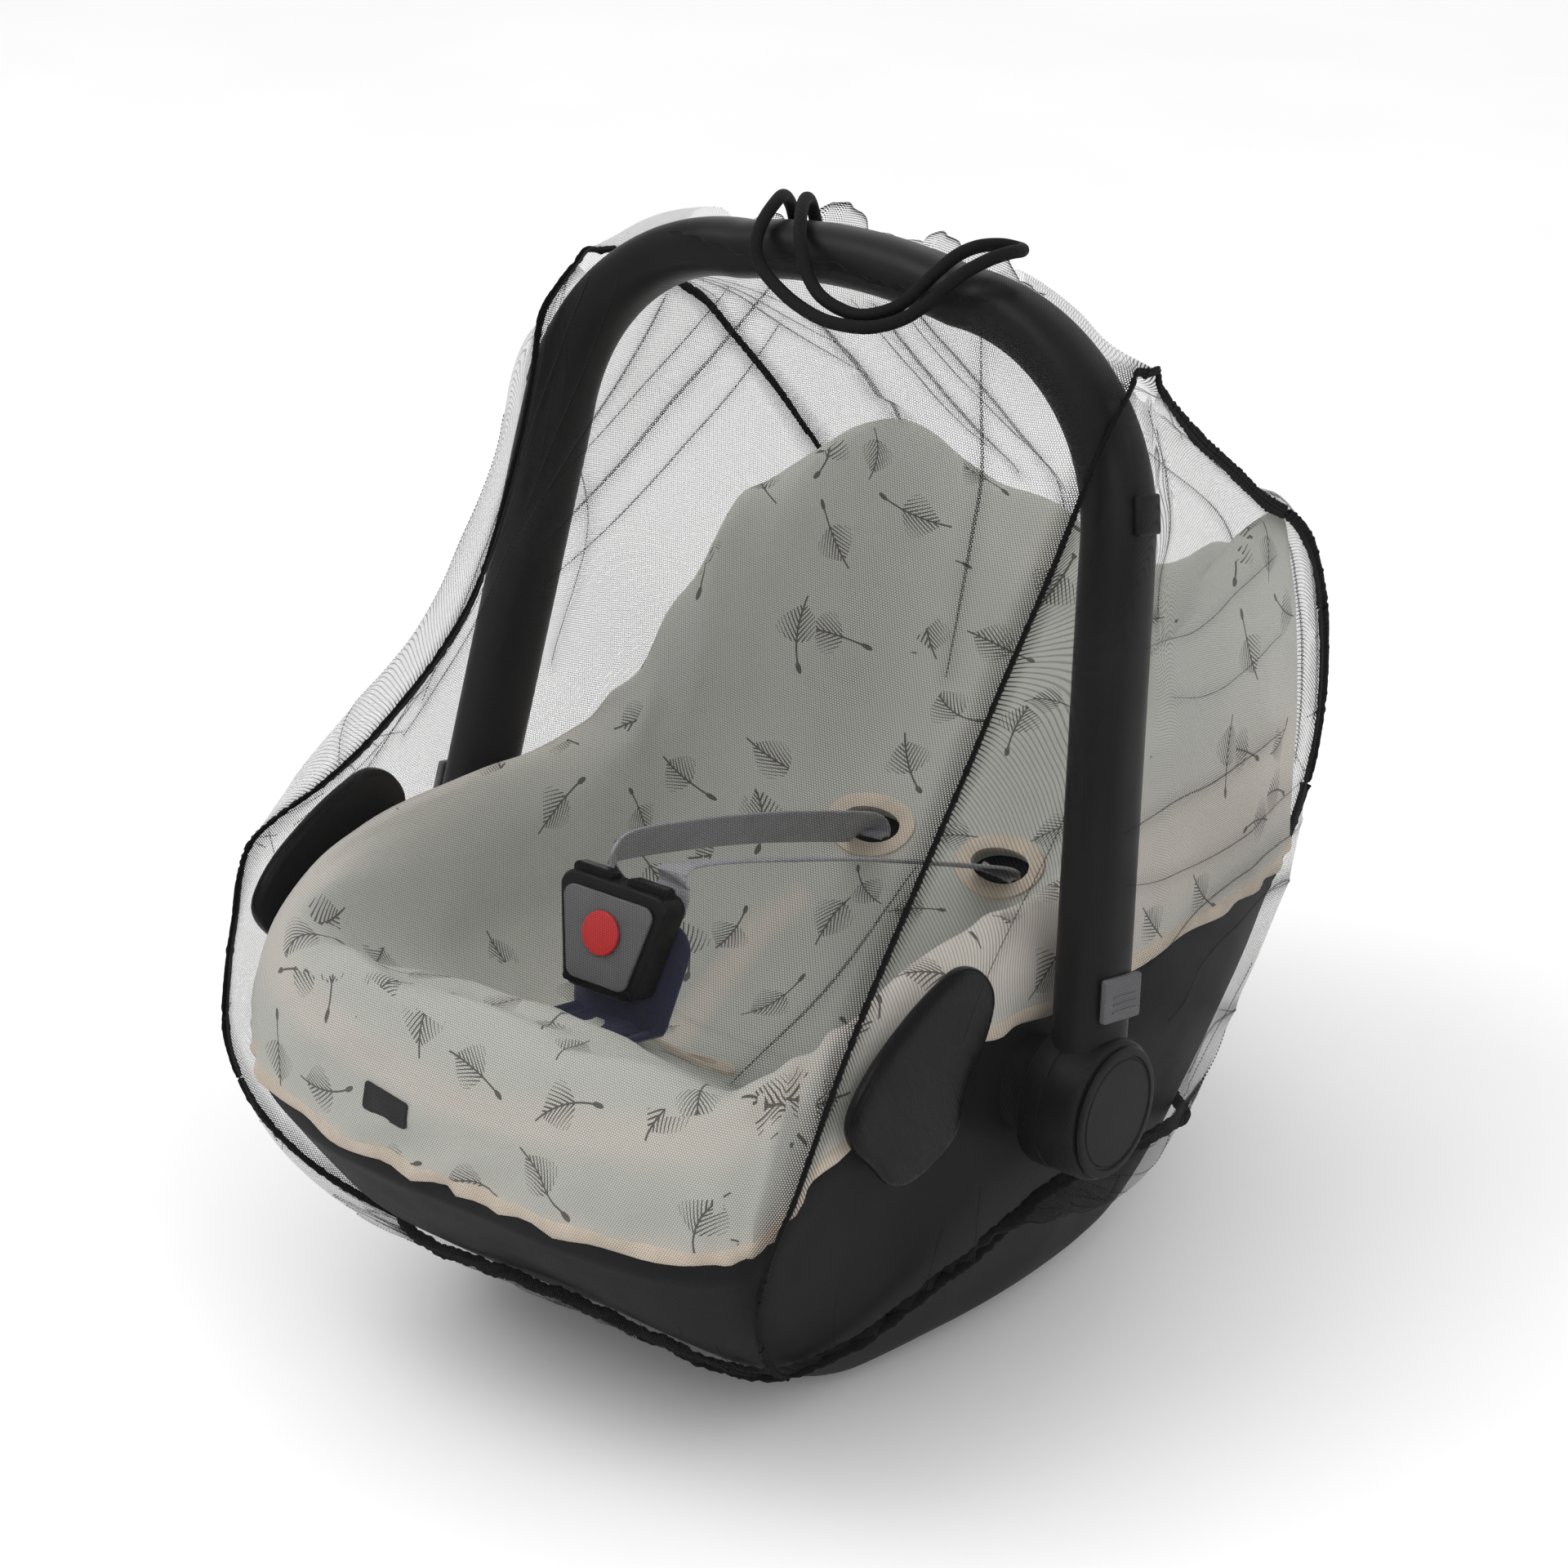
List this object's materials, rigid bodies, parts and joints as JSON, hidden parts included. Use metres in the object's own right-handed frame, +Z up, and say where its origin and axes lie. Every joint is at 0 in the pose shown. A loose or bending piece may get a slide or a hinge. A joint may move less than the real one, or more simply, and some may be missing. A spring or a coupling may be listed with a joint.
{
  "type": "mosquito net over an infant carrier",
  "caption": "Fine black mosquito net with seamed panels and a gathered hem, drawn over an upright-handled infant carrier and hooked over its grip with a tie.",
  "frame": {"origin": "on the floor, in the middle between the handle's hubs, on the flat base of the shell", "axes": "+X to the near side of the carrier (its left as it faces the foot end), +Y to the head end, +Z up"},
  "size_m": [0.4754, 0.6168, 0.5594],
  "materials": {
    "net": "fine knitted mesh, see-through",
    "seam": "bound seam",
    "elastic": "woven elastic cord",
    "shell": "lightly grained",
    "cover": "printed woven cotton, padded",
    "trim": "cream binding",
    "handle": "fine matte grain",
    "grey": "satin",
    "red": "smooth",
    "webbing": "woven webbing",
    "navy": "soft woven",
    "label": "woven, bare"
  },
  "bodies": {
    "root": {"carrier_shell": "shell", "seat_cover": "cover", "handle": "handle", "hub_cap_left": "handle", "hub_cap_right": "handle", "release_left": "grey", "release_right": "grey", "corner_button_left": "handle", "corner_button_right": "handle", "belt_guide_left": "handle", "belt_guide_right": "handle", "harness_strap_left": "webbing", "harness_strap_right": "webbing", "slot_trim_left": "trim", "slot_trim_right": "trim", "crotch_trim": "trim", "buckle_body": "handle", "buckle_plate": "grey", "buckle_button": "red", "crotch_pad": "navy", "label": "label", "net_middle": "net", "net_side_left": "net", "net_side_right": "net", "seam_tape_left": "seam", "seam_tape_right": "seam", "tie_cord": "elastic"}
  },
  "joints": []
}
